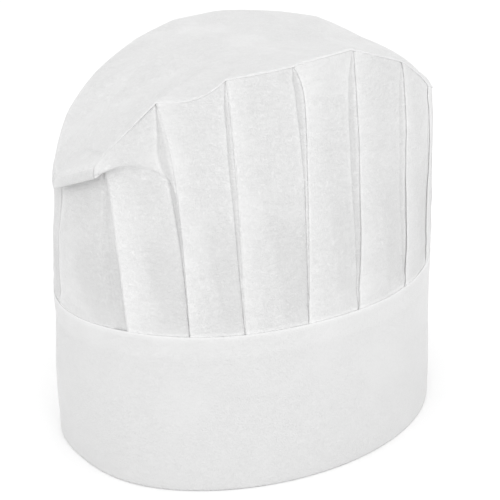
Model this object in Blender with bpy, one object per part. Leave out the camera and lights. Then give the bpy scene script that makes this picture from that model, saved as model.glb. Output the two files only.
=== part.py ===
"""Closed-top chef's toque of white non-woven sheet.

Metres, +Z up. The wearer's forehead is toward -Y and the size fastener toward +Y. The origin is at
the bottom centre of the whole object. Angles run round the oval from +X, so the forehead is at 270
degrees and the back at 90 degrees.
"""

import math

import bmesh
import bpy
from mathutils import Vector

# Headband
BAND_LENGTH = 0.206  # outside, forehead to back
BAND_WIDTH = 0.176  # outside, side to side
BAND_HEIGHT = 0.077
SHEET = 0.0005  # thickness of one layer of non-woven sheet
FOLD_GAP = 0.0006  # between the band's two layers at its lower fold
PLEAT_SLOT = 0.0034  # between the two layers where they hold the pleats
SLOT_DEPTH = 0.013
INNER_LAYER_DROP = 0.003  # the inner layer ends this far below the outer one
SLIT_WIDTH = 0.003  # between the band's two ends, at the back

# The oval tapers upward and leans a little, as soft sheet does
OVAL_CENTRE = (-0.0019, -0.0019)  # of the band's lower edge, from the origin
TAPER = 0.05  # lost from the radius at TAPER_HEIGHT
TAPER_HEIGHT = 0.2
LEAN = 0.042  # sideways travel for each metre of height
LEAN_DIRECTION = 42  # degrees

# Crown
PLEATS = 20
FIRST_FOLD = 280.5  # degrees, at the band
PLEAT_OVERLAP = 5.0  # degrees that each panel runs under its neighbour
LAYER_PITCH = 0.00085  # between the middles of two stacked layers
SLOT_INSET = 0.0009  # from the band's outer face to the pleats it holds
FOLD_LIFT = 0.003  # a fold's outward bow at mid-height
PANEL_SINK = 0.005  # inward bow of the panel beside the next fold
TIP_TWIST = (-4.5, -5.0, 262)  # mean and swing of the tips round the crown, and where it peaks
RIM_HEIGHTS = (0.193, 0.168, 0.163, 0.171, 0.182, 0.185, 0.176, 0.153, 0.138, 0.149, 0.190, 0.198)
WALL_LEVELS = 8
PANEL_STATIONS = (0.3, 0.6, 0.85)
DOME_RISE = 0.014  # the top sheet's middle above the rim's mean height
TOP_GAP = 0.0008  # from the wall's upper edge to the top sheet

# Sweatband, inside the band at the forehead
SWEATBAND_ARC = (190, 350)
SWEATBAND_FROM = 0.005
SWEATBAND_TO = 0.037
SWEATBAND_THICKNESS = 0.001

# Size fastener, at the back
TAB_LOW = 0.026
TAB_HIGH = 0.050
TAB_HINGE_X = 0.009
TAB_END_X = -0.049
PAD_LOW = 0.028
PAD_HIGH = 0.048
LOOP_PAD_X = (-0.014, -0.046)
HOOK_PAD_X = (-0.018, -0.043)
PAD_THICKNESS = 0.001

THREAD_RADIUS = 0.00025
CLEARANCE = 0.0003
RING_SEGMENTS = 60
THREAD_SIDES = 5


def clear_scene():
    for thing in list(bpy.data.objects):
        bpy.data.objects.remove(thing, do_unlink=True)


def material(name, colour, roughness):
    made = bpy.data.materials.new(name)
    made.use_nodes = True
    shader = made.node_tree.nodes["Principled BSDF"]
    shader.inputs["Base Color"].default_value = (*colour, 1.0)
    shader.inputs["Roughness"].default_value = roughness
    shader.inputs["Metallic"].default_value = 0.0
    return made


def add_solid(name, points, faces, finish, origin=(0, 0, 0)):
    """A named object whose mesh has these points, with its origin moved to `origin`."""
    origin = Vector(origin)
    mesh = bpy.data.meshes.new(name)
    mesh.from_pydata([Vector(point) - origin for point in points], [], faces)
    shape = bmesh.new()
    shape.from_mesh(mesh)
    bmesh.ops.recalc_face_normals(shape, faces=shape.faces)
    shape.to_mesh(mesh)
    shape.free()
    mesh.shade_smooth()
    mesh.set_sharp_from_angle(angle=math.radians(40))
    mesh.materials.append(finish)
    solid = bpy.data.objects.new(name, mesh)
    solid.location = origin
    bpy.context.scene.collection.objects.link(solid)
    return solid


def loft(sections, closed_path=False):
    """Points and faces through sections of equal length, given one after another.

    Each section is a closed outline. A closed path joins the last section to the first; an open
    one gets a face over each end.
    """
    size = len(sections[0])
    points = [point for section in sections for point in section]
    faces = []
    spans = len(sections) if closed_path else len(sections) - 1
    for span in range(spans):
        here = span * size
        there = ((span + 1) % len(sections)) * size
        for corner in range(size):
            after = (corner + 1) % size
            faces.append((here + corner, here + after, there + after, there + corner))
    if not closed_path:
        last = (len(sections) - 1) * size
        faces.append(tuple(reversed(range(size))))
        faces.append(tuple(last + corner for corner in range(size)))
    return points, faces


def radius_share(height):
    return 1 - TAPER * (max(height, 0.0) / TAPER_HEIGHT) ** 1.5


def oval(angle, height, inset=0.0):
    """The point at `angle` degrees on the outer oval, moved `inset` metres inward."""
    turn = math.radians(angle)
    half_x = BAND_WIDTH / 2 * radius_share(height)
    half_y = BAND_LENGTH / 2 * radius_share(height)
    outward = Vector((math.cos(turn) / half_x, math.sin(turn) / half_y, 0)).normalized()
    lean = math.radians(LEAN_DIRECTION)
    middle = Vector((OVAL_CENTRE[0] + LEAN * height * math.cos(lean),
                     OVAL_CENTRE[1] + LEAN * height * math.sin(lean), height))
    return middle + Vector((half_x * math.cos(turn), half_y * math.sin(turn), 0)) - outward * inset


def rim_height(angle):
    """The wall's height above the floor, a smooth curve through RIM_HEIGHTS."""
    place = (angle % 360) / 360 * len(RIM_HEIGHTS)
    knot = int(place)
    part = place - knot
    before, low, high, after = (RIM_HEIGHTS[(knot + step) % len(RIM_HEIGHTS)] for step in (-1, 0, 1, 2))
    slope_low = (high - before) / 2
    slope_high = (after - low) / 2
    rise = high - low
    return (low + part * slope_low
            + part ** 2 * (3 * rise - 2 * slope_low - slope_high)
            + part ** 3 * (slope_low + slope_high - 2 * rise))


def fold_angle(pleat, level):
    """The direction of a pleat's outer fold, from 0 at the band to 1 at the rim."""
    base = FIRST_FOLD + 360 / PLEATS * pleat
    mean, swing, peak = TIP_TWIST
    return base + level * (mean + swing * math.cos(math.radians(base - peak)))


def band_inner_inset(height):
    """How far inside the outer face the band's inner face lies."""
    narrow = 2 * SHEET + FOLD_GAP
    wide = 2 * SHEET + PLEAT_SLOT
    return narrow + (wide - narrow) * min(height / (BAND_HEIGHT - SLOT_DEPTH), 1.0)


def band_section():
    """The folded strip's outline as (inset, height) pairs, outer face first."""
    inner_top = BAND_HEIGHT - INNER_LAYER_DROP
    slot_floor = BAND_HEIGHT - SLOT_DEPTH
    wide = band_inner_inset(slot_floor)
    narrow = band_inner_inset(0)
    corner = 0.0002
    fold = 0.0012  # the slot ends this far above the floor
    return [
        (corner, 0.0), (0.0, 0.0008), (0.0, BAND_HEIGHT / 2), (0.0, BAND_HEIGHT),
        (SHEET, BAND_HEIGHT), (SHEET, BAND_HEIGHT / 2), (SHEET, fold),
        (narrow - SHEET, fold), (wide - SHEET, slot_floor), (wide - SHEET, inner_top),
        (wide, inner_top), (wide, slot_floor), (narrow, 0.0008), (narrow - corner, 0.0),
    ]


def headband(finish):
    """One strip folded double at its lower edge, from one side of the slit round to the other."""
    half_slit = math.degrees(SLIT_WIDTH / BAND_WIDTH)
    start = 90 + half_slit
    sweep = 360 - 2 * half_slit
    section = band_section()
    sections = []
    for step in range(RING_SEGMENTS + 1):
        angle = start + sweep * step / RING_SEGMENTS
        sections.append([oval(angle, height, inset) for inset, height in section])
    return add_solid("headband", *loft(sections), finish)


def wall_height(angle, level):
    """Height of the wall at a level; below 0 it is the foot, down in the band's slot."""
    if level < 0:
        return BAND_HEIGHT - SLOT_DEPTH + 0.002
    return BAND_HEIGHT + level * (rim_height(angle) - TOP_GAP - BAND_HEIGHT)


def wall_point(pleat, share, level, layer=0, inset=0.0):
    """A point of the sheet's middle surface on one panel.

    share runs from 0 at the panel's outer fold to 1 at its inner fold, under the next panel. layer
    counts the sheets that lie over this one where the pleat is pressed flat.
    """
    free = max(level, 0.0)
    start = fold_angle(pleat, free)
    end = fold_angle(pleat + 1, free) + PLEAT_OVERLAP
    angle = start + (end - start) * share
    bow = math.sin(math.pi * free)
    held = SLOT_INSET * (1 - min(free / 0.15, 1.0))
    depth = SHEET / 2 + held + layer * LAYER_PITCH + inset
    depth += PANEL_SINK * bow * share ** 2 - FOLD_LIFT * bow * (1 - share)
    return oval(angle, wall_height(angle, level), depth)


def wall_line(level):
    """The sheet's middle line round the crown at one level: every panel and its two folds."""
    line = []
    for pleat in range(PLEATS):
        line.append(wall_point(pleat, 0.0, level, layer=1))
        line.append(wall_point(pleat, 0.0, level))
        for share in PANEL_STATIONS:
            line.append(wall_point(pleat, share, level, layer=2 * share ** 2))
        line.append(wall_point(pleat, 1.0, level, layer=2))
        line.append(wall_point(pleat, 1.0, level, layer=1))
    return line


def offset_line(line, distance):
    """The closed line moved sideways in plan by `distance`, kept parallel at its corners."""
    moved = []
    count = len(line)
    for index, point in enumerate(line):
        back = (point - line[index - 1]).to_2d().normalized()
        ahead = (line[(index + 1) % count] - point).to_2d().normalized()
        side = Vector((back.y + ahead.y, -back.x - ahead.x)).normalized()
        stretch = max(side.dot(Vector((ahead.y, -ahead.x))), 0.5)
        moved.append(point + Vector((side.x, side.y, 0)) * distance / stretch)
    return moved


def crown_wall(finish):
    """The pleated strip: a thin tube, open at both ends, caught by the band and by the top seam."""
    outer_lines = []
    inner_lines = []
    for step in range(-1, WALL_LEVELS):
        line = wall_line(step / (WALL_LEVELS - 1))
        outer_lines.append(offset_line(line, SHEET / 2))
        inner_lines.append(offset_line(line, -SHEET / 2))
    sections = []
    for station in range(len(outer_lines[0])):
        up = [line[station] for line in outer_lines]
        down = [line[station] for line in reversed(inner_lines)]
        sections.append(up + down)
    return add_solid("crown_wall", *loft(sections, closed_path=True), finish)


def top_rings():
    """The top sheet's lower face as rings, from its edge over the wall to near its middle."""
    flat_edge = SHEET + 2 * LAYER_PITCH + 2 * CLEARANCE
    middle_height = sum(RIM_HEIGHTS) / len(RIM_HEIGHTS) + DOME_RISE
    middle = oval(0, middle_height) * 0.5 + oval(180, middle_height) * 0.5
    rings = []
    for inset in (0.0, flat_edge):
        rings.append([oval(360 / RING_SEGMENTS * step, rim_height(360 / RING_SEGMENTS * step), inset)
                      for step in range(RING_SEGMENTS)])
    for share in (0.92, 0.8, 0.6, 0.4, 0.2):
        ring = []
        for edge in rings[1]:
            point = middle.lerp(edge, share)
            point.z = edge.z * share ** 2 + middle.z * (1 - share ** 2)
            ring.append(point)
        rings.append(ring)
    return rings, middle


def crown_top(finish):
    """The domed round top sheet, lying on the wall's upper edge."""
    rings, middle = top_rings()
    thickness = Vector((0, 0, SHEET))
    points = []
    for ring in rings:
        points.extend(ring)
    points.append(middle)
    layer = len(points)
    points.extend([point + thickness for point in points[:layer]])
    faces = []
    for step in range(RING_SEGMENTS):
        after = (step + 1) % RING_SEGMENTS
        for ring in range(len(rings) - 1):
            here = ring * RING_SEGMENTS
            there = here + RING_SEGMENTS
            faces.append((here + step, there + step, there + after, here + after))
            faces.append((layer + here + step, layer + here + after,
                          layer + there + after, layer + there + step))
        last = (len(rings) - 1) * RING_SEGMENTS
        faces.append((last + step, layer - 1, last + after))
        faces.append((layer + last + step, layer + last + after, 2 * layer - 1))
        faces.append((step, after, layer + after, layer + step))
    return add_solid("crown_top", points, faces, finish)


def sweatband(finish):
    """An absorbent strip against the band's inner face at the forehead."""
    start, end = SWEATBAND_ARC
    steps = 36
    sections = []
    for step in range(steps + 1):
        angle = start + (end - start) * step / steps
        section = []
        for height, extra in ((SWEATBAND_FROM, 0), (SWEATBAND_TO, 0),
                              (SWEATBAND_TO, SWEATBAND_THICKNESS), (SWEATBAND_FROM, SWEATBAND_THICKNESS)):
            section.append(oval(angle, height, band_inner_inset(height) + CLEARANCE + extra))
        sections.append(section)
    return add_solid("sweatband", *loft(sections), finish)


def patch(name, x_range, heights, lift, thickness, finish, origin=(0, 0, 0), steps=12):
    """A strip lying over the back of the band between two x positions.

    lift gives the height of its inner face above the band at each share of its length.
    """
    sections = []
    for step in range(steps + 1):
        share = step / steps
        x = x_range[0] + (x_range[1] - x_range[0]) * share
        angle = math.degrees(math.acos(x / (BAND_WIDTH / 2)))
        low, high = heights
        inner = -lift(share)
        outer = inner - thickness
        sections.append([oval(angle, low, inner), oval(angle, low, outer),
                         oval(angle, high, outer), oval(angle, high, inner)])
    return add_solid(name, *loft(sections), finish, origin=origin)


def hinge_point(height):
    """A point of the line the tab bends on, in the middle of the tab's thickness."""
    angle = math.degrees(math.acos(TAB_HINGE_X / (BAND_WIDTH / 2)))
    return oval(angle, height, -(2 * CLEARANCE + SHEET / 2))


def closure_tab(finish):
    """The strip that peels open: sewn on at one end, held by its pad at the other."""
    raised = PAD_THICKNESS * 2 + CLEARANCE * 3

    def lift(share):
        ease = min(share / 0.3, 1.0)
        return 2 * CLEARANCE + (raised - 2 * CLEARANCE) * ease * ease * (3 - 2 * ease)

    start = TAB_HINGE_X - THREAD_RADIUS - CLEARANCE
    return patch("closure_tab", (start, TAB_END_X), (TAB_LOW, TAB_HIGH), lift, SHEET, finish,
                 origin=hinge_point((TAB_LOW + TAB_HIGH) / 2), steps=20)


def closure_pads(loop_finish, hook_finish):
    patch("closure_loop_pad", LOOP_PAD_X, (PAD_LOW, PAD_HIGH), lambda share: CLEARANCE,
          PAD_THICKNESS, loop_finish)
    patch("closure_hook_pad", HOOK_PAD_X, (PAD_LOW, PAD_HIGH),
          lambda share: 2 * CLEARANCE + PAD_THICKNESS, PAD_THICKNESS, hook_finish,
          origin=hinge_point((TAB_LOW + TAB_HIGH) / 2))


def thread(name, path, finish, closed=False):
    """A sewing thread: a round tube along the path, with flat ends unless it is closed."""
    sections = []
    count = len(path)
    for index, point in enumerate(path):
        before = path[index - 1] if closed or index else point
        after = path[(index + 1) % count] if closed or index < count - 1 else point
        along = (after - before).normalized()
        guide = Vector((0, 0, 1)) if abs(along.z) < 0.8 else Vector((0, 1, 0))
        across = along.cross(guide).normalized()
        other = across.cross(along)
        section = []
        for side in range(THREAD_SIDES):
            turn = 2 * math.pi * side / THREAD_SIDES
            section.append(point + (across * math.cos(turn) + other * math.sin(turn)) * THREAD_RADIUS)
        sections.append(section)
    return add_solid(name, *loft(sections, closed_path=closed), finish)


def ring_angles():
    return [360 / RING_SEGMENTS * step for step in range(RING_SEGMENTS)]


def threads(finish):
    """The seams' threads, each lying against the inner face of what it holds."""
    stand_off = CLEARANCE + THREAD_RADIUS
    band_seam = BAND_HEIGHT - 0.008
    thread("band_seam_thread",
           [oval(angle, band_seam, band_inner_inset(band_seam) + stand_off) for angle in ring_angles()],
           finish, closed=True)
    thread("top_seam_thread",
           [oval(angle, rim_height(angle) - 0.0008, SHEET + 2 * LAYER_PITCH + 0.0006 + stand_off)
            for angle in ring_angles()],
           finish, closed=True)

    start, end = SWEATBAND_ARC
    edge = SWEATBAND_TO - 0.003
    inset = band_inner_inset(edge) + CLEARANCE + SWEATBAND_THICKNESS + stand_off
    thread("sweatband_thread",
           [oval(start + 2 + (end - start - 4) * step / 40, edge, inset) for step in range(41)], finish)

    back_pleat = round((90 - FIRST_FOLD) / 360 * PLEATS) % PLEATS
    thread("back_seam_thread",
           [wall_point(back_pleat, 0.35, 0.2 + 0.7 * step / 12, inset=SHEET / 2 + 0.0005 + stand_off)
            for step in range(13)], finish)
    thread("tab_hinge_thread",
           [hinge_point(TAB_LOW + 0.001 + (TAB_HIGH - TAB_LOW - 0.002) * step / 4) for step in range(5)],
           finish)


def main():
    clear_scene()
    sheet = material("non_woven_sheet", (0.84, 0.84, 0.84), 0.85)
    terry = material("absorbent_strip", (0.82, 0.82, 0.80), 0.95)
    loops = material("loop_pile", (0.78, 0.78, 0.78), 0.95)
    hooks = material("hook_tape", (0.80, 0.80, 0.80), 0.55)
    sewing = material("sewing_thread", (0.86, 0.86, 0.86), 0.7)
    headband(sheet)
    crown_wall(sheet)
    crown_top(sheet)
    sweatband(terry)
    closure_tab(sheet)
    closure_pads(loops, hooks)
    threads(sewing)


main()
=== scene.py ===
"""A closed-top chef's toque of white non-woven sheet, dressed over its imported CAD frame.

Metres, +Z up, forehead toward -Y. Angles run round the oval from +X, so the forehead is at 270.
"""
import math

import bmesh
import bpy
import numpy as np
from mathutils import Matrix, Vector, noise


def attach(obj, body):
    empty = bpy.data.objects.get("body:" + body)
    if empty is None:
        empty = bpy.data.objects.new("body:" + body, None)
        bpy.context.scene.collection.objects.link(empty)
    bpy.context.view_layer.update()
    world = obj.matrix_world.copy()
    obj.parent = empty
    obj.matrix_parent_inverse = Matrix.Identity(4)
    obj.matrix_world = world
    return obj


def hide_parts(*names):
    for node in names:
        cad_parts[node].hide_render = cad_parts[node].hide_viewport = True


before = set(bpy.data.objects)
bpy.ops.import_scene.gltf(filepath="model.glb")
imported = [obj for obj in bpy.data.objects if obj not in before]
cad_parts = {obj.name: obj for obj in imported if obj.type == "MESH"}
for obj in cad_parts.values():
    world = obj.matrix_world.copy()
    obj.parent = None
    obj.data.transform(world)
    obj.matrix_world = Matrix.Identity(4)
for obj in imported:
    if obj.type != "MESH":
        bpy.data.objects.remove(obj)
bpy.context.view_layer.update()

MM = 0.001

# The oval that the CAD's band and wall follow
OVAL_CENTRE = (-0.0019, -0.0019)
BAND_LENGTH = 0.206
BAND_WIDTH = 0.176
BAND_HEIGHT = 0.077
TAPER = 0.05
TAPER_HEIGHT = 0.2
LEAN = 0.042
LEAN_DIRECTION = 42

SHEET = 0.0002  # one layer of the real sheet
LAYER = 0.00024  # middle to middle of two pressed layers
UNDERLAP = 0.0075  # how far a panel runs under the next one
PLEATS = 20
FIRST_FOLD = 280.5

# Camera, at the photograph's viewing angle
CAMERA_AZIMUTH = 42
CAMERA_ELEVATION = 20
CAMERA_DISTANCE = 0.85
CAMERA_ROLL = 2.5
CAMERA_LENS = 122.4
AIM_SIDE = 0.0058
AIM_HEIGHT = 0.083


def rotated(x, y, degrees):
    turn = math.radians(degrees)
    return x * math.cos(turn) - y * math.sin(turn), x * math.sin(turn) + y * math.cos(turn)


def add_camera():
    aim_x, aim_y = rotated(AIM_SIDE, 0.0, CAMERA_AZIMUTH)
    aim = Vector((aim_x + OVAL_CENTRE[0], aim_y + OVAL_CENTRE[1], AIM_HEIGHT))
    rise = math.radians(CAMERA_ELEVATION)
    away_x, away_y = rotated(0.0, -math.cos(rise), CAMERA_AZIMUTH)
    place = aim + Vector((away_x, away_y, math.sin(rise))) * CAMERA_DISTANCE
    data = bpy.data.cameras.new("camera")
    data.lens = CAMERA_LENS
    data.sensor_width = 36
    data.clip_start = 0.01
    camera = bpy.data.objects.new("camera", data)
    bpy.context.scene.collection.objects.link(camera)
    look = (aim - place).to_track_quat("-Z", "Y").to_matrix().to_4x4()
    roll = Matrix.Rotation(-math.radians(CAMERA_ROLL), 4, "Z")
    camera.matrix_world = Matrix.Translation(place) @ look @ roll
    bpy.context.scene.camera = camera


def area_light(name, side, forward, height, size, power):
    """A soft light placed relative to the camera's side of the hat and aimed at the hat."""
    x, y = rotated(side, -forward, CAMERA_AZIMUTH)
    data = bpy.data.lights.new(name, "AREA")
    data.shape = "DISK"
    data.size = size
    data.energy = power
    light = bpy.data.objects.new(name, data)
    bpy.context.scene.collection.objects.link(light)
    light.location = (x, y, height)
    light.rotation_euler = (Vector((0, 0, 0.1)) - light.location).to_track_quat("-Z", "Y").to_euler()


def add_studio():
    scene = bpy.context.scene
    scene.view_settings.view_transform = "Standard"
    world = bpy.data.worlds.new("studio")
    world.use_nodes = True
    world.node_tree.nodes["Background"].inputs["Color"].default_value = (1, 1, 1, 1)
    world.node_tree.nodes["Background"].inputs["Strength"].default_value = 1.08
    scene.world = world
    area_light("key_light", 0.15, 1.3, 1.0, 1.2, 4.5)
    floor_mesh = bpy.data.meshes.new("floor")
    reach = 6.0
    floor_mesh.from_pydata([(-reach, -reach, 0), (reach, -reach, 0), (reach, reach, 0), (-reach, reach, 0)],
                           [], [(0, 1, 2, 3)])
    floor = bpy.data.objects.new("floor", floor_mesh)
    scene.collection.objects.link(floor)
    finish = bpy.data.materials.new("floor_white")
    finish.use_nodes = True
    shader = finish.node_tree.nodes["Principled BSDF"]
    shader.inputs["Base Color"].default_value = (0.97, 0.97, 0.97, 1)
    shader.inputs["Roughness"].default_value = 0.9
    shader.inputs["Specular IOR Level"].default_value = 0.0
    floor_mesh.materials.append(finish)


# ---- Materials ----

class Nodes:
    """A small helper that builds a node tree by name."""

    def __init__(self, name):
        self.material = bpy.data.materials.new(name)
        self.material.use_nodes = True
        self.tree = self.material.node_tree
        self.shader = self.tree.nodes["Principled BSDF"]

    def add(self, kind, inputs=None, **settings):
        node = self.tree.nodes.new(kind)
        for key, value in settings.items():
            setattr(node, key, value)
        for key, value in (inputs or {}).items():
            if isinstance(value, bpy.types.NodeSocket):
                self.tree.links.new(value, node.inputs[key])
            else:
                node.inputs[key].default_value = value
        return node

    def link(self, output, target):
        self.tree.links.new(output, target)

    def math(self, operation, a, b=0.0, clamp=False):
        node = self.add("ShaderNodeMath", {0: a, 1: b}, operation=operation)
        node.use_clamp = clamp
        return node.outputs[0]

    def noise(self, vector, scale, detail=2.0, roughness=0.5, distortion=0.0):
        node = self.add("ShaderNodeTexNoise", {"Vector": vector, "Scale": scale, "Detail": detail,
                                               "Roughness": roughness, "Distortion": distortion})
        return node.outputs["Fac"]

    def scaled(self, vector, factor, shift=(0, 0, 0)):
        return self.add("ShaderNodeMapping", {"Vector": vector, "Scale": factor,
                                              "Location": shift}).outputs["Vector"]

    def mix(self, factor, low, high):
        node = self.add("ShaderNodeMix", {0: factor}, data_type="RGBA")
        node.inputs[6].default_value = (*low, 1)
        node.inputs[7].default_value = (*high, 1)
        return node.outputs[2]

    def ramp(self, factor, low, high):
        node = self.add("ShaderNodeMapRange", {"Value": factor, "From Min": low, "From Max": high})
        return node.outputs["Result"]


def fibre_lines(nodes, where, scale, shift, width):
    """Thin winding hairs: the places where a noise field crosses its middle value."""
    field = nodes.noise(nodes.scaled(where, (1, 1, 1), shift), scale, 1.0, 0.4, 1.6)
    off_middle = nodes.math("ABSOLUTE", nodes.math("SUBTRACT", field, 0.5))
    return nodes.ramp(off_middle, width, 0.0)


def brushed(nodes, where, stretch, swirl):
    """Long soft streaks that wander: noise stretched along the lay of the fibres."""
    warp = nodes.add("ShaderNodeTexNoise", {"Vector": where, "Scale": 30.0, "Detail": 1.0}).outputs["Color"]
    moved = nodes.add("ShaderNodeVectorMath", {0: warp, 1: (swirl, swirl, swirl)}, operation="MULTIPLY")
    warped = nodes.add("ShaderNodeVectorMath", {0: where, 1: moved.outputs[0]}, operation="ADD").outputs[0]
    return nodes.noise(nodes.scaled(warped, stretch), 1.0, 2.0, 0.55)


def non_woven(name, dark, light, fibre=1.0):
    nodes = Nodes(name)
    where = nodes.add("ShaderNodeTexCoord").outputs["Object"]
    lines = fibre_lines(nodes, where, 260, (0, 0, 0), 0.03)
    for scale, shift, width in ((330, (0.31, 0.2, 0.7), 0.03), (190, (0.9, 0.4, 0.1), 0.022),
                                (430, (0.5, 0.8, 0.3), 0.04)):
        lines = nodes.math("MAXIMUM", lines, fibre_lines(nodes, where, scale, shift, width))
    clouds = nodes.noise(where, 75, 3.0, 0.6)
    grain = nodes.noise(where, 900, 2.0, 0.6)
    lay = nodes.ramp(brushed(nodes, where, (150, 150, 900), 0.02), 0.3, 0.7)
    swirl = nodes.ramp(brushed(nodes, where, (700, 700, 260), 0.05), 0.3, 0.7)
    patches = nodes.ramp(nodes.noise(where, 28, 2.0, 0.5, 0.6), 0.25, 0.5)
    hairs = nodes.math("MULTIPLY", lines, patches)
    height = nodes.math("ADD", nodes.math("MULTIPLY", hairs, 0.6 * fibre),
                        nodes.math("ADD", nodes.math("MULTIPLY", grain, 0.3),
                                   nodes.math("MULTIPLY", clouds, 0.8)))
    height = nodes.math("ADD", height, nodes.math("MULTIPLY", nodes.math("ADD", lay, swirl), 0.5 * fibre))
    bump = nodes.add("ShaderNodeBump", {"Height": height, "Strength": 0.5, "Distance": 0.0005})
    tone = nodes.math("ADD", nodes.math("MULTIPLY", nodes.ramp(clouds, 0.3, 0.7), 0.12),
                      nodes.math("MULTIPLY", hairs, 0.34 * fibre))
    tone = nodes.math("ADD", tone, nodes.math("MULTIPLY", nodes.math("ADD", lay, swirl), 0.19 * fibre))
    # The ply attribute whitens or greys each point: partly for the layers of cloth behind it, partly painted
    # light and shade on the pleats, seams and band.
    ply_and_painted_light = nodes.add("ShaderNodeAttribute", attribute_name="ply_and_painted_light").outputs["Fac"]
    shade = nodes.math("ADD", nodes.math("MULTIPLY", tone, 0.42), ply_and_painted_light, clamp=True)
    nodes.link(nodes.mix(shade, dark, light), nodes.shader.inputs["Base Color"])
    nodes.link(bump.outputs["Normal"], nodes.shader.inputs["Normal"])
    nodes.link(nodes.ramp(grain, -0.8, 1.6), nodes.shader.inputs["Roughness"])
    nodes.shader.inputs["Specular IOR Level"].default_value = 0.25
    nodes.shader.inputs["Sheen Weight"].default_value = 0.15
    nodes.shader.inputs["Sheen Roughness"].default_value = 0.6
    return nodes.material


def tape(name, dark, light, scale, depth, roughness):
    """A short-pile or moulded tape, or a thread: fine grain of one size over soft patches."""
    nodes = Nodes(name)
    where = nodes.add("ShaderNodeTexCoord").outputs["Object"]
    grain = nodes.noise(where, scale, 2.0, 0.7, 0.8)
    patches = nodes.noise(where, scale / 12, 2.0, 0.5)
    shade = nodes.math("ADD", nodes.math("MULTIPLY", nodes.ramp(grain, 0.3, 0.7), 0.6),
                       nodes.math("MULTIPLY", nodes.ramp(patches, 0.3, 0.7), 0.4), clamp=True)
    bump = nodes.add("ShaderNodeBump", {"Height": grain, "Strength": 0.8, "Distance": depth})
    nodes.link(nodes.mix(shade, dark, light), nodes.shader.inputs["Base Color"])
    nodes.link(bump.outputs["Normal"], nodes.shader.inputs["Normal"])
    nodes.link(nodes.ramp(grain, 0.5 - roughness, 1.5 - roughness), nodes.shader.inputs["Roughness"])
    nodes.shader.inputs["Specular IOR Level"].default_value = 0.3
    return nodes.material


# ---- Shape of the crown ----

def radius_share(height):
    return 1 - TAPER * (np.maximum(height, 0.0) / TAPER_HEIGHT) ** 1.5


def oval(angle, height, inset=0.0):
    """Points at these angles on the outer oval, moved inward by inset. Arrays broadcast."""
    angle, height, inset = np.broadcast_arrays(np.radians(angle), height, inset)
    half_x = BAND_WIDTH / 2 * radius_share(height)
    half_y = BAND_LENGTH / 2 * radius_share(height)
    normal_x = np.cos(angle) / half_x
    normal_y = np.sin(angle) / half_y
    length = np.hypot(normal_x, normal_y)
    lean = math.radians(LEAN_DIRECTION)
    x = OVAL_CENTRE[0] + LEAN * height * math.cos(lean) + half_x * np.cos(angle) - normal_x / length * inset
    y = OVAL_CENTRE[1] + LEAN * height * math.sin(lean) + half_y * np.sin(angle) - normal_y / length * inset
    return np.stack([x, y, height], axis=-1)


def smooth_step(value):
    part = np.clip(value, 0, 1)
    return part * part * (3 - 2 * part)


def hump(value, middle, width):
    return np.exp(-((value - middle) / width) ** 2)


def soft_noise(points, scale, shift):
    """Smooth unevenness from -1 to 1, the same wherever two layers lie together."""
    offset = Vector((shift, 2 * shift, 3 * shift))
    flat = [noise.noise(Vector(point) * scale + offset) for point in points.reshape(-1, 3)]
    return np.array(flat).reshape(points.shape[:-1])


# A gap's width in millimetres at levels from the band, 0, to the top seam, 1
NARROW_GAP = ((0, 0.6), (0.3, 1.2), (0.6, 2.0), (0.85, 3.0), (1, 0.8))
DEGREES = 1 / (0.0965 * math.pi / 180)  # round the oval, for each metre of cloth


class Pleat:
    """One knife pleat: its outer fold, and the panel that runs from it under the next fold."""

    def __init__(self, base, tip, height, gap=NARROW_GAP, lift=0.3, rise=1.0, sweep=0.25, late=4,
                 bulge=0.0, depth=0.06, gap_painted_shade=0.14):
        self.base = base  # degrees, where the fold leaves the band
        self.tip = tip  # degrees, where the fold meets the top seam
        self.height = height  # of the top seam at the fold
        self.gap_levels = [level for level, width in gap]
        self.gap_widths = [width * MM for level, width in gap]
        self.lift = lift * MM  # how far this fold stands out at mid-height
        self.rise = rise  # how the seam climbs along the panel: 1 evenly, more late, less early
        self.sweep = sweep  # share of the fold's lean that it makes near its tip
        self.late = late  # how near its tip, as a power of the level
        self.bulge = bulge  # degrees that the fold bows along the wall between band and tip
        self.depth = depth  # of the gap, as a share of its width
        self.gap_painted_shade = gap_painted_shade  # painted shade in the open gap: how much greyer it is than the cloth beside it


# The pleats that the viewer sees, from the left, then the ones behind
PLEAT_LIST = [
    Pleat(280.5, 268.5, 0.152, sweep=0.55, depth=0.12, gap_painted_shade=0.12,
          gap=((0, 1.0), (0.2, 1.3), (0.38, 2.2), (0.55, 3.4), (0.7, 4.4), (0.77, 6.0), (0.835, 6.2),
               (0.905, 3.8), (1, 0.8))),
    Pleat(300.5, 290.5, 0.1848, gap=((0, 1.0), (0.3, 2.0), (0.7, 3.2), (0.92, 2.5), (1, 0.8)), rise=3.0,
          sweep=0.55),
    Pleat(316.0, 310.5, 0.1945, gap=((0, 0.6), (0.3, 1.0), (0.6, 2.2), (0.85, 4.8), (0.95, 4.0), (1, 0.8))),
    Pleat(334.1, 329.0, 0.1975, rise=0.6, sweep=0.7, late=14,
          gap=((0, 0.8), (0.12, 2.0), (0.3, 3.4), (0.55, 5.0), (0.75, 5.6), (0.9, 4.4), (1, 0.8))),
    Pleat(349.0, 346.6, 0.2005, gap_painted_shade=0.04, bulge=1.8,
          gap=((0, 0.8), (0.15, 3.6), (0.4, 5.5), (0.7, 6.5), (0.9, 4.5), (1, 0.8))),
    Pleat(370.8, 367.3, 0.188, sweep=0.7, late=10, gap_painted_shade=0.06,
          gap=((0, 0.6), (0.5, 3.0), (0.8, 4.5), (1, 0.8))),
    Pleat(388.5, 388.0, 0.168),
]
HIDDEN_HEIGHTS = (0.160, 0.161, 0.1655, 0.171, 0.1805, 0.1835, 0.186, 0.1845, 0.1785, 0.1675, 0.154, 0.1385)
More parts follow.
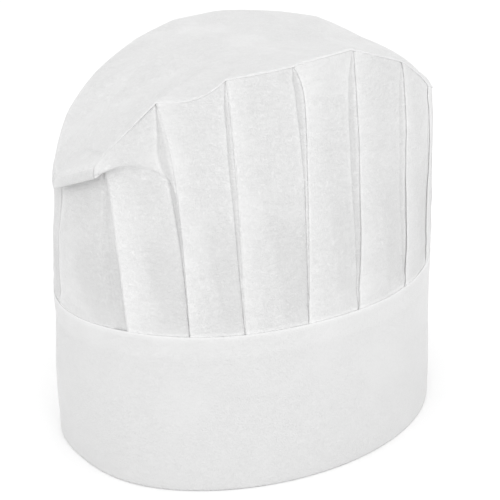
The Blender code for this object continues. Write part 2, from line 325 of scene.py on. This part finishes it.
LAST_PLEAT = Pleat(606.0, 601.0, 0.1365, depth=0.12, gap_painted_shade=0.0,
                   gap=((0, 9.0), (0.1, 11.0), (0.35, 11.0), (0.7, 9.0), (0.92, 4.0), (1, 0.8)))


def add_hidden_pleats():
    first = PLEAT_LIST[-1]
    count = len(HIDDEN_HEIGHTS)
    for index, height in enumerate(HIDDEN_HEIGHTS):
        share = (index + 1) / (count + 1)
        wobble = 1.4 * math.sin(index * 2.1)
        base = first.base + (LAST_PLEAT.base - first.base) * share + wobble
        tip = first.tip + (LAST_PLEAT.tip - first.tip) * share + wobble
        gap = [(level, width * (1.5 + 0.5 * math.sin(index * 1.7))) for level, width in NARROW_GAP]
        PLEAT_LIST.append(Pleat(base, tip, height, gap=gap, lift=0.3 + 0.15 * math.cos(index * 1.3)))
    PLEAT_LIST.append(LAST_PLEAT)


def fold_line(pleat, level):
    """The fold's angle at each level: it leans slowly at first and faster near its tip."""
    lean = (1 - pleat.sweep) * level + pleat.sweep * level ** pleat.late
    return pleat.base + (pleat.tip - pleat.base) * lean + pleat.bulge * hump(level, 0.5, 0.5) ** 0.5


def spline(knots, per_span):
    """Points along a smooth curve through the knots, each span cut into per_span parts."""
    padded = np.vstack([2 * knots[0] - knots[1], knots, 2 * knots[-1] - knots[-2]])
    made = []
    for span in range(len(knots) - 1):
        before, low, high, after = padded[span:span + 4]
        for part in np.arange(per_span[span]) / per_span[span]:
            made.append(0.5 * (2 * low + (high - before) * part
                               + (2 * before - 5 * low + 4 * high - after) * part ** 2
                               + (3 * low - before - 3 * high + after) * part ** 3))
    return np.array(made)


SPANS = (2, 4, 4, 3, 3, 2, 3, 2, 2, 3)
KNOTS = len(SPANS) + 1
FIRST_HIDDEN_KNOT = 6
COLUMN_WEIGHTS = spline(np.eye(KNOTS), SPANS)
COLUMNS = len(COLUMN_WEIGHTS)
HIDDEN_COLUMN = sum(SPANS[:FIRST_HIDDEN_KNOT])
# 0 on what shows of a panel, rising to 1 where the folded-under cloth comes back to the next fold
HIDDEN_SHARE = smooth_step((np.arange(COLUMNS) - HIDDEN_COLUMN) / (COLUMNS - 1 - HIDDEN_COLUMN))
# 1 wherever the cloth lies under the next panel and moves with it
FOLLOWS_NEXT = smooth_step((np.arange(COLUMNS) - HIDDEN_COLUMN) / SPANS[FIRST_HIDDEN_KNOT])


def panel_section(pleat, after, level, width):
    """A panel's cross-section, fold to fold: degrees from its fold, and metres outward.

    level and width hold one value for each column.
    """
    bow = np.sin(math.pi * np.clip(level, 0, 1)) ** 0.8
    gap_metres = np.interp(level, pleat.gap_levels, pleat.gap_widths)
    gap = gap_metres * DEGREES
    depth = pleat.depth * gap_metres * smooth_step(level / 0.2)
    under = UNDERLAP * DEGREES
    lift = pleat.lift * bow
    lift_next = after.lift * bow
    open_width = width - gap
    steady = np.ones_like(level)
    along = [0 * steady, 0.0014 * DEGREES * steady, open_width * 0.45,
             open_width - np.minimum(0.005 * DEGREES, open_width * 0.25), open_width,
             width - gap * 0.7, width - gap * 0.05, width + under * 0.6, width + under,
             width + under * 0.5, width - 0.0003 * DEGREES]
    pressed = lift_next - 1.9 * LAYER
    outward = [lift, lift + 0.0001, lift * 0.5, -0.0001 * steady, -0.0002 * bow - LAYER * 0.3,
               -2.1 * LAYER - depth, pressed - 0.1 * depth, pressed - 0.3 * LAYER, pressed - 0.2 * LAYER,
               lift_next - 1.3 * LAYER, lift_next - LAYER]
    weights = COLUMN_WEIGHTS.T
    return (weights * np.array(along)).sum(axis=0), (weights * np.array(outward)).sum(axis=0)


# ---- The slumped front left, where the crown's top hangs over the wall below it ----

SLUMPED = 0  # the panel that hangs over most
LAST = PLEATS - 1
FOLD_SPREAD = 0.011  # of a panel's height, either side of the overhang's lip


def crease_level(index, share):
    share = np.clip(share, 0, 1)
    if index == SLUMPED:
        return 0.975 - 0.23 * share - 0.175 * share ** 12
    if index == LAST:
        return 0.95 + 0.015 * share
    return 0.9 + 0.05 * share * (index == LAST - 1)


def overhang(index, share, level, crease):
    """How far the cloth near the overhang's lip moves outward and upward."""
    share = np.clip(share, 0, 1)
    if index == SLUMPED:
        lap = 0.0026 * (1 - smooth_step(share / 0.35))
        reach = 0.0030 * (1 - smooth_step(share / 0.65)) + 0.0010
        roll = (0.0012 + 0.0022 * share * (1 - share)) * (1 - smooth_step((share - 0.6) / 0.3))
    elif index == LAST:
        lap = 0.0020 + 0.0006 * share
        reach = 0.0030 + 0.0010 * share
        roll = 0.0012 + 0 * share
    elif index == LAST - 1:
        lap = 0.0020 * share
        reach = 0.0030 * share
        roll = 0.0012 * share
    else:
        return 0 * share, 0 * share
    above = level - crease
    below_lip = 1 - smooth_step((above + FOLD_SPREAD) / (2 * FOLD_SPREAD))
    recovery = 1 - smooth_step(-above / 0.45)
    outward = -reach * below_lip * recovery + roll * np.sin(math.pi * np.clip(above / (1.001 - crease), 0, 1))
    swing = above / FOLD_SPREAD
    upward = -lap * swing * np.exp(0.5 - swing ** 2 / 2)
    return outward, upward * (1 - smooth_step((above - 0.8 * (1 - crease)) / (0.2001 * (1 - crease))))


def facet(share, level):
    """How much of a panel's lower right corner has turned in towards the next pleat, from 0 to 1, and how
    strongly there; the second also scales the facet's painted shade.
    """
    start = 0.62 - 0.6 * level
    in_reach = smooth_step(level / 0.08) * (1 - smooth_step((level - 0.3) / 0.3))
    return np.clip((share - start) / (1 - start), 0, 1), in_reach * smooth_step((share - start) / 0.06)


FACET_TURN = 0.0004
FACET_PAINTED_SHADE = 0.13  # painted shade on the turned-in facet, as it turns away from the light
LIP_CLEARANCE = 0.001  # of the cloth behind the overhang's lip


def seam_height(index, share):
    """The top seam's height along one panel, and on past its end along the next."""
    pleat = PLEAT_LIST[index]
    after = PLEAT_LIST[(index + 1) % PLEATS]
    third = PLEAT_LIST[(index + 2) % PLEATS]
    within = pleat.height + (after.height - pleat.height) * np.clip(share, 0, 1) ** pleat.rise
    beyond = (third.height - after.height) * np.clip(share - 1, 0, 1) ** after.rise
    return within + beyond


LIP_ROWS = 20
UPPER_ROWS = 10
LOWER_ROWS = 44
FOOT_LEVELS = (-0.1, -0.05)


def row_levels(crease):
    """The level of every row for one column: evenly spaced, and closer together at the crease."""
    start = crease - 0.06
    end = crease + np.minimum(0.03, (1 - crease) * 0.7)
    lower = np.linspace(0, start, LOWER_ROWS, endpoint=False)
    lip = np.linspace(start, end, LIP_ROWS, endpoint=False)
    upper = np.linspace(end, np.ones_like(end), UPPER_ROWS)
    foot = np.array(FOOT_LEVELS)[:, None] * np.ones_like(crease)
    return np.concatenate([foot, lower, lip, upper])


def wrinkles(points, level):
    """Uneven bulges of the thin sheet, finer where it is gathered into a seam."""
    slack = np.clip(np.minimum(level, 1 - level) / 0.12, 0, 1)
    near_top = hump(level, 0.97, 0.07) * smooth_step((1 - level) / 0.02)
    near_band = hump(level, 0.1, 0.08) * smooth_step(level / 0.02)
    stretched = points * np.array([0.5, 0.5, 2.0])
    return (0.0009 * slack * soft_noise(points, 30, 0.37) + 0.00035 * slack * soft_noise(points, 85, 1.9)
            + 0.0005 * near_top * soft_noise(points, 110, 4.1)
            + 0.00035 * near_band * soft_noise(stretched, 120, 7.3))


EDGE_LAYERS_AND_HIGHLIGHT = 0.18  # lighter along each fold: partly the doubled cloth against a single layer, partly a painted highlight on the fold
# Painted light: each panel lighter near its fold and greyer away from it, as the panel turns from the light.
BESIDE_EDGE_PAINTED_LIGHT = 0.15
BESIDE_EDGE_WIDTH = 0.012
SHOULDER_HIGHLIGHT = 0.16  # painted highlight where a panel bends down into the gap
UNDER_FOLD_PAINTED_LIGHT = 0.5  # painted light on the layers that close under the next fold, lifting the shade in that slot
# A lighter line along the top seam: partly its doubled cloth, partly a painted highlight.
TOP_SEAM_LAYERS_AND_HIGHLIGHT = 0.12
# Painted light where the wall meets the band, lifting the shade line there.
BAND_SEAM_PAINTED_LIGHT = 0.30


def layer_tone_and_painted_light(pleat, index, along, width, share, level):
    """How much whiter or greyer each point is painted: partly for the layers of cloth behind it, partly
    painted highlights on folds and seams, painted shade in the gaps and by the overhang, and painted light
    that lifts the shade under folds and at the band.
    """
    gap = np.interp(level, pleat.gap_levels, pleat.gap_widths)
    shown = 1 - HIDDEN_SHARE
    in_gap = smooth_step((along - (width - gap)) / 0.0006)
    wide = smooth_step((gap - 0.0008) / 0.002)
    edge = EDGE_LAYERS_AND_HIGHLIGHT * hump(along, 0, 0.0010)
    edge = edge + BESIDE_EDGE_PAINTED_LIGHT * (1 - smooth_step(along / BESIDE_EDGE_WIDTH))
    shoulder_highlight = SHOULDER_HIGHLIGHT * hump(along, width - gap, 0.0014) * wide * (index != LAST)
    # Painted shade in the wider open gaps, and painted light in narrow gaps and under the folds that lifts
    # their shade.
    strip = in_gap * (0.3 * (1 - wide * shown) - pleat.gap_painted_shade * wide * shown)
    under_fold_painted_light = UNDER_FOLD_PAINTED_LIGHT * smooth_step((along - (width - 0.0007)) / 0.0006)
    seams = TOP_SEAM_LAYERS_AND_HIGHLIGHT * hump(level, 1.0, 0.010) + BAND_SEAM_PAINTED_LIGHT * hump(level, 0.0, 0.01)
    # Painted shade and light by the overhang: the far left panel a little lighter at its left and darker to
    # its right, the slumped panel lighter on its left.
    painted_shade_and_light = (0.04 - 0.10 * smooth_step((share - 0.1) / 0.6)) * (index == LAST)
    painted_shade_and_light = painted_shade_and_light + 0.16 * (1 - smooth_step((share - 0.25) / 0.35)) * (index == SLUMPED)
    return edge * shown + (shoulder_highlight + seams) * (1 - in_gap) + strip + painted_shade_and_light * shown + under_fold_painted_light


def crown_wall_points():
    """The pleated strip's points, row by row, and how white each one is painted, for the cloth behind it and
    for painted light and shade.
    """
    rows = []
    plies_and_painted_light = []
    for index, pleat in enumerate(PLEAT_LIST):
        after = PLEAT_LIST[(index + 1) % PLEATS]
        third = PLEAT_LIST[(index + 2) % PLEATS]
        turn = 360 if index == PLEATS - 1 else 0
        middle = np.full(COLUMNS, 0.6)
        width = fold_line(after, middle) + turn - fold_line(pleat, middle)
        along = panel_section(pleat, after, middle, width)[0]
        beyond = (along - width) / ((fold_line(third, middle) - fold_line(after, middle)) % 360)
        crease = crease_level(index, along / width)
        follows = HIDDEN_SHARE if index == LAST else FOLLOWS_NEXT
        beyond = beyond * (index != LAST)
        crease = crease + (crease_level((index + 1) % PLEATS, beyond) - crease) * follows
        levels = row_levels(crease)
        panel = []
        ply_and_painted_light = []
        for level in levels:
            free = np.maximum(level, 0.0)
            start = fold_line(pleat, free)
            width = fold_line(after, free) + turn - start
            along, outward = panel_section(pleat, after, free, width)
            share = along / width
            hang_out, hang_up = overhang(index, share, free, crease)
            beyond = (along - width) / ((fold_line(third, free) - fold_line(after, free)) % 360)
            next_out, next_up = overhang((index + 1) % PLEATS, beyond * (index != LAST), free, crease)
            hang_out = hang_out + (next_out - hang_out) * follows
            hang_up = hang_up + (next_up - hang_up) * follows
            height = BAND_HEIGHT + free * (seam_height(index, share) - 0.0004 - BAND_HEIGHT)
            height = np.where(level < 0, BAND_HEIGHT + level * 0.1, height + hang_up)
            held = 0.00045 * (1 - smooth_step(free / 0.03))
            held = held + (band_shift((start + along) % 360, BAND_HEIGHT + np.minimum(level, 0) * 0.1)
                           * (1 - smooth_step(free / 0.12)))
            if index == LAST - 1:  # the cloth behind the overhang's lip stays clear of it
                behind = smooth_step((along - width) / DEGREES / 0.0018)
                near_lip = smooth_step((free - crease + 0.04) / 0.02)
                hang_out = hang_out - LIP_CLEARANCE * behind * near_lip
            turned, facing_away = facet(share, free)
            inset = SHEET / 2 + held - outward - hang_out + FACET_TURN * turned * facing_away
            base = oval(start + along, height, inset)
            inset = inset - wrinkles(base, free)
            panel.append(oval(start + along, height, inset))
            # Each point's tone: layers of cloth plus painted light and shade, less the painted shade on a
            # turned-in facet.
            ply_and_painted_light.append(layer_tone_and_painted_light(pleat, index, along / DEGREES, width / DEGREES, share, free)
                       - FACET_PAINTED_SHADE * facing_away)
        rows.append(np.array(panel))
        plies_and_painted_light.append(np.array(ply_and_painted_light))
    return np.concatenate(rows, axis=1), np.concatenate(plies_and_painted_light, axis=1)


# ---- Meshes ----

def grid_faces(rows, columns, wrap):
    faces = []
    last = columns if wrap else columns - 1
    for row in range(rows - 1):
        for column in range(last):
            after = (column + 1) % columns
            faces.append((row * columns + column, row * columns + after,
                          (row + 1) * columns + after, (row + 1) * columns + column))
    return faces


def add_mesh(name, points, faces, finish, ply_and_painted_light=None):
    mesh = bpy.data.meshes.new(name)
    mesh.from_pydata(points.reshape(-1, 3).tolist(), [], faces)
    mesh.shade_smooth()
    mesh.materials.append(finish)
    if ply_and_painted_light is not None:
        layer = mesh.attributes.new("ply_and_painted_light", "FLOAT", "POINT")
        layer.data.foreach_set("value", ply_and_painted_light.reshape(-1).astype(np.float32))
    made = bpy.data.objects.new(name, mesh)
    bpy.context.scene.collection.objects.link(made)
    return made


def thicken(piece, thickness, offset=0.0):
    solid = piece.modifiers.new("thickness", "SOLIDIFY")
    solid.thickness = thickness
    solid.offset = offset
    solid.use_quality_normals = True


def stands_for(piece, node, body):
    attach(piece, body)
    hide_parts(node)


def crown_wall(finish):
    points, ply_and_painted_light = crown_wall_points()
    wall = add_mesh("crown_wall_sheet", points, grid_faces(*points.shape[:2], True), finish, ply_and_painted_light)
    thicken(wall, SHEET)
    stands_for(wall, "crown_wall", "toque")
    return wall, points


RIM_STEPS = 16  # points of the top seam along each panel
# Distance in from the rim and height above it, in millimetres, where the sheet laps over the seam
LIP_PROFILE = ((0.0, -0.8), (-0.15, -0.4), (-0.05, 0.0), (0.4, 0.15))
LIP_BAND = 0.016  # ringed finely, from the rim inward
RING_STEP = 0.0006


def rim_line():
    """Points of the top seam all the way round, with their angles."""
    line = []
    angles = []
    for index, pleat in enumerate(PLEAT_LIST):
        after = PLEAT_LIST[(index + 1) % PLEATS]
        end = after.tip + (360 if index == PLEATS - 1 else 0)
        share = np.arange(RIM_STEPS) / RIM_STEPS
        angle = pleat.tip + (end - pleat.tip) * share
        line.append(oval(angle, seam_height(index, share), 0.0))
        angles.append(angle % 360)
    return np.concatenate(line), np.concatenate(angles)


def tuck(angle, distance):
    """The sheet's drop at the fold where it has slumped over the front left seam."""
    line = np.maximum(0.012 - (angle - 255) * 0.00038, 0.001)
    strength = smooth_step((angle - 244) / 10) * smooth_step((286 - angle) / 8)
    groove = -0.0012 * hump(distance, line, 0.0008)
    roll = 0.0008 * np.sin(math.pi * np.clip(distance / line, 0, 1))
    step = -0.0016 * smooth_step((distance - line) / 0.0012) * (1 - smooth_step((distance - line) / 0.02))
    return strength * (groove + roll + step)


def crown_top(finish):
    edge, angle = rim_line()
    middle = edge.mean(axis=0)
    middle[2] += 0.014
    span = np.linalg.norm((middle - edge)[:, :2], axis=1)
    inward = (middle - edge) / span[:, None]
    power = 2.2 - 1.0 * hump(angle, 85, 30)
    rings = []
    plies_and_painted_light = []
    # The lapped seam allowance at the rim is set whiter: partly its doubled cloth, partly a painted
    # highlight.
    for step, climb in LIP_PROFILE:
        rings.append(edge + inward * [1, 1, 0] * step * MM + np.array([0, 0, climb * MM]))
        plies_and_painted_light.append(np.full(len(edge), 0.25))
    fine = np.arange(RING_STEP * 1.5, LIP_BAND, RING_STEP)[:, None] * np.ones(len(edge))
    coarse = LIP_BAND + (span - LIP_BAND) * np.linspace(0, 0.985, 38)[:, None]
    for distance in np.vstack([fine, coarse]):
        share = 1 - distance / span
        blend = share ** power
        ring = edge + inward * distance[:, None]
        ring[:, 2] = edge[:, 2] * blend + middle[2] * (1 - blend) + 0.0002
        gathers = 0.0005 * hump(distance, 0.004, 0.006) * soft_noise(edge, 130, 2.2)
        dents = 0.0008 * smooth_step(distance / 0.02) * soft_noise(ring, 24, 5.5)
        ring[:, 2] += gathers + dents + tuck(angle, distance)
        rings.append(ring)
        # The top sheet is set a little whiter all over, with a painted highlight within about 2 mm of the
        # rim.
        plies_and_painted_light.append(0.11 + 0.10 * (1 - smooth_step((distance - 0.001) / 0.002)))
    points = np.array(rings)
    rows, columns = points.shape[:2]
    faces = grid_faces(rows, columns, True)
    last = (rows - 1) * columns
    faces.append(tuple(last + column for column in range(columns)))
    top = add_mesh("crown_top_sheet", points, faces, finish, np.array(plies_and_painted_light))
    thicken(top, SHEET)
    stands_for(top, "crown_top", "toque")
    return top


# ---- The band ----

HEM = 0.011  # of the upper edge, turned in
SLOT_FLOOR = BAND_HEIGHT - 0.013  # the pleats are held above this
HALF_SLIT = 0.98  # degrees, half of the space between the band's ends
INNER_INSET = (0.0015, 0.0041)  # of the inner layer, at the fold and at the slot


def band_shift(angle, height):
    """Inward travel of the whole band: its left end is pressed in at the foot and curls out on top."""
    foot = 0.0038 * hump(angle, 255, 22) * (1 - smooth_step(height / 0.04))
    curl = -0.0011 * hump(angle, 236, 20) * smooth_step((height - 0.06) / 0.017)
    wave = 0.0004 * np.sin(np.radians(angle) * 7 + height * 60) * smooth_step(height / 0.02)
    return foot + curl + wave


def headband(finish):
    """One strip folded double: hem, outer face, bottom fold, inner face."""
    top = BAND_HEIGHT
    profile = [(0.0006, top - HEM), (0.0005, top - 0.004), (0.0005, top - 0.0004), (0.00033, top - 0.0001),
               (0.00012, top - 0.0004), (0.0001, top - 0.0012)]
    profile += [(0.00015, height) for height in np.linspace(top - 0.003, top - HEM + 0.001, 5)]
    profile += [(0.00032, height) for height in np.linspace(top - HEM - 0.001, 0.002, 20)]
    profile += [(0.00034, 0.001), (0.0005, 0.0003), (0.0009, 0.00015), (0.0013, 0.0003), (0.0015, 0.001)]
    for height in np.linspace(0.006, SLOT_FLOOR, 13):
        share = height / SLOT_FLOOR
        profile.append((INNER_INSET[0] + (INNER_INSET[1] - INNER_INSET[0]) * share, height))
    profile += [(INNER_INSET[1], top - 0.008), (INNER_INSET[1], top - 0.003)]
    inset, height = np.array(profile).T[:, :, None]
    angle = np.linspace(90 + HALF_SLIT, 450 - HALF_SLIT, 241)[None, :]
    flat = np.ones_like(angle)
    points = oval(angle, height * flat, inset * flat + band_shift(angle % 360, height))
    # Whiter on the turned-in hem, where the cloth is doubled, and a painted highlight along the top fold.
    crease = hump(height, top, 0.0012)
    ply_and_painted_light = (np.where(height > top - HEM, 0.08, 0.0) + 0.4 * crease) * flat
    band = add_mesh("headband_strip", points, grid_faces(len(profile), angle.shape[1], False), finish, ply_and_painted_light)
    thicken(band, SHEET)
    stands_for(band, "headband", "toque")
    return band


def inner_inset(height):
    return INNER_INSET[0] + (INNER_INSET[1] - INNER_INSET[0]) * np.minimum(height / SLOT_FLOOR, 1)


SWEATBAND_ARC = (190, 350)
SWEATBAND_HEIGHTS = (0.005, 0.037)
SWEATBAND_THICKNESS = 0.001


def sweatband_inset(angle, height):
    """The middle of the strip's thickness, just clear of the band's inner layer."""
    return inner_inset(height) + band_shift(angle, height) + SHEET / 2 + 0.0003 + SWEATBAND_THICKNESS / 2


def sweatband(finish):
    angle = np.linspace(*SWEATBAND_ARC, 121)[None, :]
    height = np.linspace(*SWEATBAND_HEIGHTS, 17)[:, None]
    lip = hump(height, SWEATBAND_HEIGHTS[1], 0.0025) + hump(height, SWEATBAND_HEIGHTS[0], 0.0025)
    inset = sweatband_inset(angle, height) - 0.00015 * lip
    points = oval(angle * np.ones_like(height), height * np.ones_like(angle), inset)
    strip = add_mesh("sweatband_strip", points, grid_faces(*points.shape[:2], False), finish)
    thicken(strip, SWEATBAND_THICKNESS * 0.8)
    bevel = strip.modifiers.new("edge", "BEVEL")
    bevel.width = 0.0003
    bevel.segments = 2
    stands_for(strip, "sweatband", "toque")
    return strip, arc_length(points[8])


# ---- The closure at the back ----

TAB_X = (0.0084, -0.049)
TAB_HEIGHTS = (0.026, 0.050)
LOOP_PAD_X = (-0.014, -0.046)
HOOK_PAD_X = (-0.018, -0.043)
PAD_HEIGHTS = (0.028, 0.048)
PAD_THICKNESS = 0.001
CLEARANCE = 0.0003
HOOK_PITCH = 0.0014


def patch_points(x_range, heights, corner, lift, along=41, across=17):
    """A grid over the back of the band, with rounded corners; lift is its height at each share."""
    share = np.linspace(0, 1, along)
    x = x_range[0] + (x_range[1] - x_range[0]) * share
    length = abs(x_range[1] - x_range[0])
    from_end = np.minimum(share, 1 - share) * length
    bite = np.clip(1 - from_end / corner, 0, 1)
    half = (heights[1] - heights[0]) / 2 - corner * (1 - np.sqrt(1 - bite ** 2))
    side = np.linspace(-1, 1, across)
    height = (heights[0] + heights[1]) / 2 + half[None, :] * side[:, None]
    angle = np.degrees(np.arccos(x / (BAND_WIDTH / 2)))[None, :] * np.ones_like(height)
    return oval(angle, height, -lift(share)[None, :] * np.ones_like(height))


def patch(name, points, thickness, finish, node, body, ply_and_painted_light=None):
    piece = add_mesh(name, points, grid_faces(*points.shape[:2], False), finish, ply_and_painted_light)
    thicken(piece, thickness)
    bevel = piece.modifiers.new("edge", "BEVEL")
    bevel.width = thickness * 0.3
    bevel.segments = 2
    stands_for(piece, node, body)
    return piece


def tab_lift(share):
    raised = 2 * PAD_THICKNESS + 3 * CLEARANCE + 0.00025
    start = 2 * CLEARANCE + 0.00025
    return start + (raised - start) * smooth_step(share / 0.3)


def closure(sheet, loop_finish, hook_finish):
    tab_points = patch_points(TAB_X, TAB_HEIGHTS, 0.004, tab_lift)
    ply_and_painted_light = np.full(tab_points.shape[:2], 0.1)
    tab = patch("closure_tab_sheet", tab_points, 2 * SHEET, sheet, "closure_tab", "tab",
                ply_and_painted_light)
    loop_points = patch_points(LOOP_PAD_X, PAD_HEIGHTS, 0.0015,
                               lambda share: CLEARANCE + PAD_THICKNESS / 2 + 0 * share)
    fuzz = 0.00012 * soft_noise(loop_points, 900, 0.5)
    loop_points = loop_points + fuzz[:, :, None] * np.array([0, 1, 0])
    loop_pad = patch("loop_pad", loop_points, PAD_THICKNESS * 0.8, loop_finish, "closure_loop_pad", "toque")
    hook_tape(hook_finish)
    return tab, loop_pad


def hook_tape(finish):
    """A thin tape with rows of small mushroom-headed hooks that face the band."""
    base_lift = 2 * CLEARANCE + PAD_THICKNESS + 0.00075
    base = patch_points(HOOK_PAD_X, PAD_HEIGHTS, 0.0015, lambda share: base_lift + 0 * share)
    tape_piece = add_mesh("hook_pad", base, grid_faces(*base.shape[:2], False), finish)
    thicken(tape_piece, 0.0004)
    built = bmesh.new()
    built.from_mesh(tape_piece.evaluated_get(bpy.context.evaluated_depsgraph_get()).to_mesh())
    profile = ((0.00018, 0.0), (0.00014, 0.00035), (0.0003, 0.00042), (0.00022, 0.00055))
    sides = 6
    for x in np.arange(HOOK_PAD_X[1] + 0.0016, HOOK_PAD_X[0] - 0.0012, HOOK_PITCH):
        angle = math.degrees(math.acos(x / (BAND_WIDTH / 2)))
        for height in np.arange(PAD_HEIGHTS[0] + 0.0014, PAD_HEIGHTS[1] - 0.0010, HOOK_PITCH):
            foot = oval(angle, height, -(base_lift - 0.00015))
            inward = oval(angle, height, 0.0) - oval(angle, height, -0.001)
            inward = inward / np.linalg.norm(inward)
            across = np.cross(inward, (0, 0, 1))
            rings = []
            for radius, rise in profile:
                ring = []
                for side in range(sides):
                    turn = 2 * math.pi * side / sides
                    spot = foot + inward * rise + radius * (across * math.cos(turn)
                                                            + np.array([0, 0, 1]) * math.sin(turn))
                    ring.append(built.verts.new(spot))
                rings.append(ring)
            for low, high in zip(rings, rings[1:]):
                for side in range(sides):
                    after = (side + 1) % sides
                    built.faces.new((low[side], low[after], high[after], high[side]))
            built.faces.new(rings[-1])
            built.faces.new(rings[0][::-1])
    tape_piece.modifiers.clear()
    bmesh.ops.recalc_face_normals(built, faces=built.faces)
    built.to_mesh(tape_piece.data)
    built.free()
    tape_piece.data.shade_smooth()
    stands_for(tape_piece, "closure_hook_pad", "tab")


# ---- Stitches ----

STITCH = 0.0032  # from one stitch's start to the next one's
THREAD_RADIUS = 0.0002
STITCH_SIDES = 6
# Along a stitch: its share of the way, its rise above the cloth, and its thickness
STITCH_PROFILE = ((0.0, -0.9, 0.7), (0.12, 0.2, 1.0), (0.5, 0.8, 1.05), (0.88, 0.2, 1.0), (1.0, -0.9, 0.7))


def stitches(name, path, facing, finish, node):
    """A row of separate short stitches along a path, on the side of the cloth that facing gives."""
    steps = np.linalg.norm(np.diff(path, axis=0), axis=1)
    travelled = np.concatenate([[0], np.cumsum(steps)])
    count = int(travelled[-1] / STITCH)
    points = []
    faces = []
    for stitch in range(count):
        first = len(points)
        ends = [(stitch + share * 0.66 + 0.17) * travelled[-1] / count
                for share, rise, width in STITCH_PROFILE]
        middle = np.array([np.interp(ends, travelled, path[:, axis]) for axis in range(3)]).T
        out = np.array([np.interp(ends, travelled, facing[:, axis]) for axis in range(3)]).T
        along = (middle[-1] - middle[0]) / np.linalg.norm(middle[-1] - middle[0])
        for spot, up, (share, rise, width) in zip(middle, out, STITCH_PROFILE):
            across = np.cross(along, up)
            centre = spot + up * rise * THREAD_RADIUS
            for side in range(STITCH_SIDES):
                turn = 2 * math.pi * side / STITCH_SIDES
                spoke = across * math.cos(turn) + up * math.sin(turn)
                points.append(centre + THREAD_RADIUS * width * spoke)
        for ring in range(len(STITCH_PROFILE) - 1):
            low = first + ring * STITCH_SIDES
            for side in range(STITCH_SIDES):
                after = (side + 1) % STITCH_SIDES
                faces.append((low + side, low + after, low + STITCH_SIDES + after, low + STITCH_SIDES + side))
        last = first + (len(STITCH_PROFILE) - 1) * STITCH_SIDES
        faces.append(tuple(first + side for side in reversed(range(STITCH_SIDES))))
        faces.append(tuple(last + side for side in range(STITCH_SIDES)))
    row = add_mesh(name, np.array(points), faces, finish)
    stands_for(row, node, "toque")
    return row


def oval_path(angle, height, inset):
    """A path round the oval at this inset, and the direction towards the hat's inside."""
    path = oval(angle, height, inset)
    inward = oval(angle, height, inset + 0.001) - path
    return path, inward / np.linalg.norm(inward, axis=1)[:, None]


def seams(wall_points, finish):
    around = np.linspace(0, 360, 361)
    band_seam = BAND_HEIGHT - 0.008
    path, inward = oval_path(around, np.full(361, band_seam),
                             inner_inset(band_seam) + band_shift(around, band_seam) + SHEET / 2)
    stitches("band_seam_stitches", path, inward, finish, "band_seam_thread")

    edge, angle = rim_line()
    order = np.argsort(angle)
    path, inward = oval_path(angle[order], edge[order, 2] - 0.002, np.full(len(edge), 0.0030))
    stitches("top_seam_stitches", path, inward, finish, "top_seam_thread")

    start, end = SWEATBAND_ARC
    arc = np.linspace(start + 2, end - 2, 81)
    stitch_line = SWEATBAND_HEIGHTS[1] - 0.003
    path, inward = oval_path(arc, np.full(81, stitch_line),
                             sweatband_inset(arc, stitch_line) + SWEATBAND_THICKNESS * 0.4)
    stitches("sweatband_stitches", path, inward, finish, "sweatband_thread")

    back_pleat = round((90 - FIRST_FOLD) / 360 * PLEATS) % PLEATS
    column = back_pleat * COLUMNS + SPANS[0] + SPANS[1] - 1
    line = wall_points[12:62, column]
    inward = np.array([[0.0, -1.0, 0.0]]) * np.ones((len(line), 1))
    stitches("back_seam_stitches", line + inward * SHEET / 2, inward, finish, "back_seam_thread")

    hinge_angle = math.degrees(math.acos(TAB_X[0] / (BAND_WIDTH / 2)))
    height = np.linspace(TAB_HEIGHTS[0] + 0.001, TAB_HEIGHTS[1] - 0.001, 9)
    path, inward = oval_path(np.full(9, hinge_angle), height, np.full(9, -(2 * CLEARANCE + 0.0006)))
    stitches("tab_hinge_stitches", path, -inward, finish, "tab_hinge_thread")


def arc_length(line, closed=False):
    steps = np.diff(np.vstack([line, line[:1]]) if closed else line, axis=0)
    return float(np.linalg.norm(steps, axis=1).sum())


def main():
    add_camera()
    add_studio()
    add_hidden_pleats()
    sheet = non_woven("non_woven_sheet_white", (0.635, 0.635, 0.635), (0.955, 0.955, 0.955))
    band_sheet = non_woven("non_woven_sheet_band", (0.65, 0.65, 0.65), (0.87, 0.87, 0.87), 0.4)
    absorbent = tape("absorbent_strip_white", (0.66, 0.65, 0.62), (0.78, 0.77, 0.74), 420, 0.0006, 0.1)
    loop_finish = tape("loop_pile_white", (0.62, 0.62, 0.61), (0.80, 0.80, 0.79), 1500, 0.0005, 0.05)
    hook_finish = tape("hook_tape_white", (0.70, 0.70, 0.69), (0.78, 0.78, 0.77), 700, 0.0001, 0.4)
    thread_finish = tape("sewing_thread_white", (0.66, 0.66, 0.65), (0.80, 0.80, 0.79), 2600, 0.0002, 0.3)
    wall, wall_points = crown_wall(sheet)
    top = crown_top(sheet)
    band = headband(band_sheet)
    strip, strip_length = sweatband(absorbent)
    tab, loop_pad = closure(band_sheet, loop_finish, hook_finish)
    seams(wall_points, thread_finish)


main()
